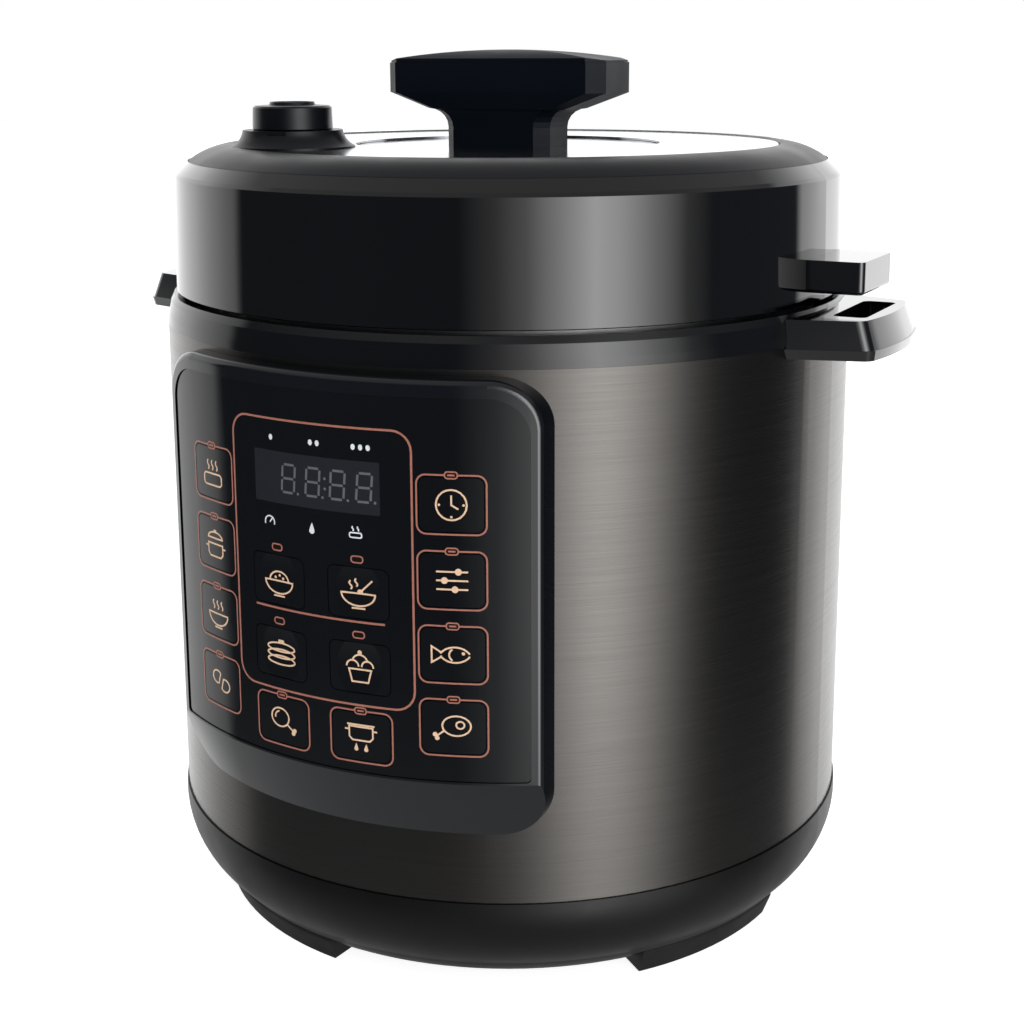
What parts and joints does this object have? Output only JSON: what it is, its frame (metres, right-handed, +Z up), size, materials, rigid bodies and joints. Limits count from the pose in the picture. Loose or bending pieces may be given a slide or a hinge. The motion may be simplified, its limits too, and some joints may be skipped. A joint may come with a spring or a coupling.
{
  "type": "electric pressure cooker",
  "caption": "Upright electric pressure cooker with a curved key panel, bayonet lid with central grip and steam valve, removable pot, side handles and a rear power inlet.",
  "frame": {"origin": "on the cooker's vertical axis, at the surface it stands on", "axes": "+Z up; -Y out of the control panel; +X towards the right-hand side handle"},
  "size_m": [0.3308, 0.2924, 0.341],
  "materials": {
    "base_black": "satin black moulded plastic",
    "foot_rubber": "black rubber pads",
    "screw_steel": "zinc plated steel",
    "shell_steel": "dark tinted stainless sheet, brushed round the body",
    "collar_black": "satin black plastic with a soft sheen",
    "handle_gloss": "glossy black phenolic",
    "pot_aluminium": "plain drawn aluminium",
    "terminal_steel": "nickel plated steel",
    "fuse_metal": "small metal-cased thermal fuse",
    "sensor_metal": "spun aluminium cap",
    "spring_steel": "spring steel wire",
    "board_green": "solder-masked fibreglass board",
    "component_black": "moulded components",
    "inlet_black": "black plastic",
    "pin_brass": "brass pins",
    "wire_insulation": "silicone-insulated leads",
    "ribbon_grey": "flat grey ribbon cable",
    "bezel_black": "glossy black plastic with a blue-black cast",
    "lens_black": "smoked black acrylic lens",
    "key_black": "black acrylic key tops",
    "carrier_grey": "dark grey plastic",
    "membrane_film": "polyester switch sheet",
    "display_dark": "dark filter over a segment display",
    "pot_nonstick": "dark non-stick coating",
    "seal_silicone": "translucent white silicone",
    "lid_steel": "polished stainless",
    "skirt_gloss": "high gloss black skirt",
    "ring_satin": "satin black moulding",
    "plate_silver": "silver lacquered disc with fine circular brushing",
    "grip_black": "satin blue-black phenolic",
    "weight_steel": "turned stainless steel",
    "valve_black": "satin black plastic"
  },
  "bodies": {
    "housing": {"base_feet": "foot_rubber", "base_screws": "screw_steel", "base_tub": "base_black", "board_parts": "component_black", "collar_ring": "collar_black", "control_board": "board_green", "display_module": "display_dark", "heater_terminals": "terminal_steel", "heating_plate": "pot_aluminium", "inlet_pins": "pin_brass", "key_carrier": "carrier_grey", "key_membrane": "membrane_film", "outer_pot": "pot_aluminium", "outer_shell": "shell_steel", "panel_bezel": "bezel_black", "panel_lens": "lens_black", "power_board": "board_green", "power_inlet": "inlet_black", "pressure_switch": "terminal_steel", "ribbon_cable": "ribbon_grey", "side_handle_left": "handle_gloss", "side_handle_right": "handle_gloss", "side_handle_screws": "screw_steel", "spring_plate": "pot_aluminium", "thermal_fuse": "fuse_metal", "wiring": "wire_insulation"},
    "pot": {"inner_pot": "pot_nonstick"},
    "seal": {"sealing_ring": "seal_silicone", "seal_rack": "lid_steel"},
    "lid": {"lid_cover": "skirt_gloss", "lid_ring": "ring_satin", "lid_top_plate": "plate_silver", "lid_ears": "handle_gloss", "lid_screws": "screw_steel", "lid_handle": "grip_black", "handle_cap": "grip_black", "handle_bolts": "screw_steel", "pressure_lid": "lid_steel", "exhaust_pipe": "lid_steel", "anti_block_cap": "lid_steel", "float_seal": "seal_silicone"},
    "valve_weight": {"valve_weight": "weight_steel"},
    "valve_cap": {"valve_cap": "valve_black"},
    "float_valve": {"float_pin": "weight_steel"},
    "sensor": {"sensor_cap": "sensor_metal", "sensor_spring": "spring_steel"},
    "key_keep_warm": {"key_keep_warm": "key_black"},
    "key_open_lid": {"key_open_lid": "key_black"},
    "key_soup": {"key_soup": "key_black"},
    "key_beans": {"key_beans": "key_black"},
    "key_timer": {"key_timer": "key_black"},
    "key_taste": {"key_taste": "key_black"},
    "key_fish": {"key_fish": "key_black"},
    "key_meat": {"key_meat": "key_black"},
    "key_rice": {"key_rice": "key_black"},
    "key_porridge": {"key_porridge": "key_black"},
    "key_pancakes": {"key_pancakes": "key_black"},
    "key_dessert": {"key_dessert": "key_black"},
    "key_poultry": {"key_poultry": "key_black"},
    "key_broth": {"key_broth": "key_black"}
  },
  "joints": [
    {"name": "pot_lift", "type": "slide", "parent": "housing", "child": "pot", "axis": [0, 0, 1], "range_m": [0, 0.185]},
    {"name": "lid_lift", "type": "slide", "parent": "pot", "child": "seal", "axis": [0, 0, 1], "range_m": [0, 0.1]},
    {"name": "lid_turn", "type": "hinge", "parent": "seal", "child": "lid", "pos_m": [0, 0, 0.25], "axis": [0, 0, 1], "range_deg": [-22.5, 0]},
    {"name": "steam_valve_lift", "type": "slide", "parent": "lid", "child": "valve_weight", "axis": [0, 0, 1], "range_m": [0, 0.02]},
    {"name": "steam_valve_turn", "type": "hinge", "parent": "valve_weight", "child": "valve_cap", "pos_m": [-0.06113, -0.0633, 0.316], "axis": [0, 0, 1], "range_deg": [0, 60]},
    {"name": "float_rise", "type": "slide", "parent": "lid", "child": "float_valve", "axis": [0, 0, 1], "range_m": [0, 0.0015]},
    {"name": "sensor_press", "type": "slide", "parent": "housing", "child": "sensor", "axis": [0, 0, 1], "range_m": [-0.0018, 0], "stiffness_N_per_m": 400, "springref_m": 0.001, "deforming": ["sensor_spring"]},
    {"name": "press_keep_warm", "type": "slide", "parent": "housing", "child": "key_keep_warm", "axis": [0.3403, 0.9403, 0], "range_m": [0, 0.0008], "stiffness_N_per_m": 500, "springref_m": -0.0004},
    {"name": "press_open_lid", "type": "slide", "parent": "housing", "child": "key_open_lid", "axis": [0.3403, 0.9403, 0], "range_m": [0, 0.0008], "stiffness_N_per_m": 500, "springref_m": -0.0004},
    {"name": "press_soup", "type": "slide", "parent": "housing", "child": "key_soup", "axis": [0.3403, 0.9403, 0], "range_m": [0, 0.0008], "stiffness_N_per_m": 500, "springref_m": -0.0004},
    {"name": "press_beans", "type": "slide", "parent": "housing", "child": "key_beans", "axis": [0.3403, 0.9403, 0], "range_m": [0, 0.0008], "stiffness_N_per_m": 500, "springref_m": -0.0004},
    {"name": "press_timer", "type": "slide", "parent": "housing", "child": "key_timer", "axis": [-0.3403, 0.9403, 0], "range_m": [0, 0.0008], "stiffness_N_per_m": 500, "springref_m": -0.0004},
    {"name": "press_taste", "type": "slide", "parent": "housing", "child": "key_taste", "axis": [-0.3403, 0.9403, 0], "range_m": [0, 0.0008], "stiffness_N_per_m": 500, "springref_m": -0.0004},
    {"name": "press_fish", "type": "slide", "parent": "housing", "child": "key_fish", "axis": [-0.3403, 0.9403, 0], "range_m": [0, 0.0008], "stiffness_N_per_m": 500, "springref_m": -0.0004},
    {"name": "press_meat", "type": "slide", "parent": "housing", "child": "key_meat", "axis": [-0.3403, 0.9403, 0], "range_m": [0, 0.0008], "stiffness_N_per_m": 500, "springref_m": -0.0004},
    {"name": "press_rice", "type": "slide", "parent": "housing", "child": "key_rice", "axis": [0.1137, 0.9935, 0], "range_m": [0, 0.0008], "stiffness_N_per_m": 500, "springref_m": -0.0004},
    {"name": "press_porridge", "type": "slide", "parent": "housing", "child": "key_porridge", "axis": [-0.1137, 0.9935, 0], "range_m": [0, 0.0008], "stiffness_N_per_m": 500, "springref_m": -0.0004},
    {"name": "press_pancakes", "type": "slide", "parent": "housing", "child": "key_pancakes", "axis": [0.1137, 0.9935, 0], "range_m": [0, 0.0008], "stiffness_N_per_m": 500, "springref_m": -0.0004},
    {"name": "press_dessert", "type": "slide", "parent": "housing", "child": "key_dessert", "axis": [-0.1137, 0.9935, 0], "range_m": [0, 0.0008], "stiffness_N_per_m": 500, "springref_m": -0.0004},
    {"name": "press_poultry", "type": "slide", "parent": "housing", "child": "key_poultry", "axis": [0.1137, 0.9935, 0], "range_m": [0, 0.0008], "stiffness_N_per_m": 500, "springref_m": -0.0004},
    {"name": "press_broth", "type": "slide", "parent": "housing", "child": "key_broth", "axis": [-0.1137, 0.9935, 0], "range_m": [0, 0.0008], "stiffness_N_per_m": 500, "springref_m": -0.0004}
  ]
}
